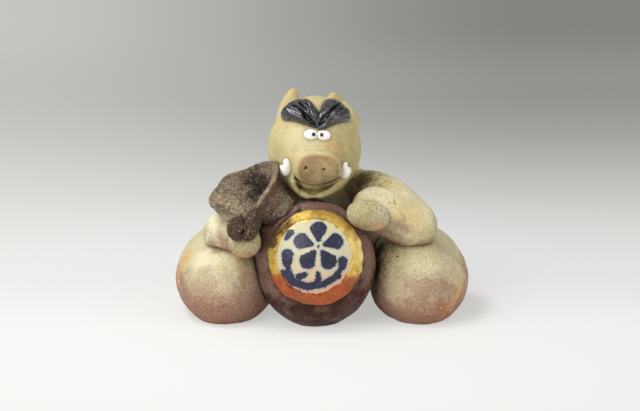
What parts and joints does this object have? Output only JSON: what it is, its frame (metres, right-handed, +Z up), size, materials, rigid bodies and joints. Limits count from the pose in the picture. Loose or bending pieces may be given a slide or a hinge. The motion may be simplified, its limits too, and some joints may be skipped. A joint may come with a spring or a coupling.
{
  "type": "seated boar zodiac figurine",
  "caption": "Hand-built stoneware boar, seated and hugging a brown treasure sack with a flared mouth and a round medallion.",
  "frame": {"origin": "middle of the footprint, on the ground", "axes": "+X towards the boar's left, -Y the way it faces, +Z up"},
  "size_m": [0.1508, 0.113, 0.1149],
  "materials": {
    "buff_clay": "matt grogged stoneware with a thin ash glaze",
    "brown_clay": "rough dark brown stoneware",
    "black_glaze": "glossy black glaze",
    "white_clay": "white clay under clear glaze",
    "gold_lustre": "brushed gold lustre",
    "cream_glaze": "cream glaze with a soft sheen"
  },
  "bodies": {
    "root": {"torso": "buff_clay", "left_leg": "buff_clay", "right_leg": "buff_clay", "left_arm": "buff_clay", "right_arm": "buff_clay", "left_hand": "buff_clay", "right_hand": "buff_clay", "head": "buff_clay", "snout": "buff_clay", "left_ear": "buff_clay", "right_ear": "buff_clay", "tail": "buff_clay", "sack_body": "brown_clay", "sack_mouth": "brown_clay", "mouth_fold": "brown_clay", "upper_gather": "brown_clay", "lower_gather": "brown_clay", "left_brow": "black_glaze", "right_brow": "black_glaze", "left_pupil": "black_glaze", "right_pupil": "black_glaze", "left_eye": "white_clay", "right_eye": "white_clay", "left_tusk": "white_clay", "right_tusk": "white_clay", "medallion_ring": "gold_lustre", "medallion_disc": "cream_glaze"}
  },
  "joints": []
}
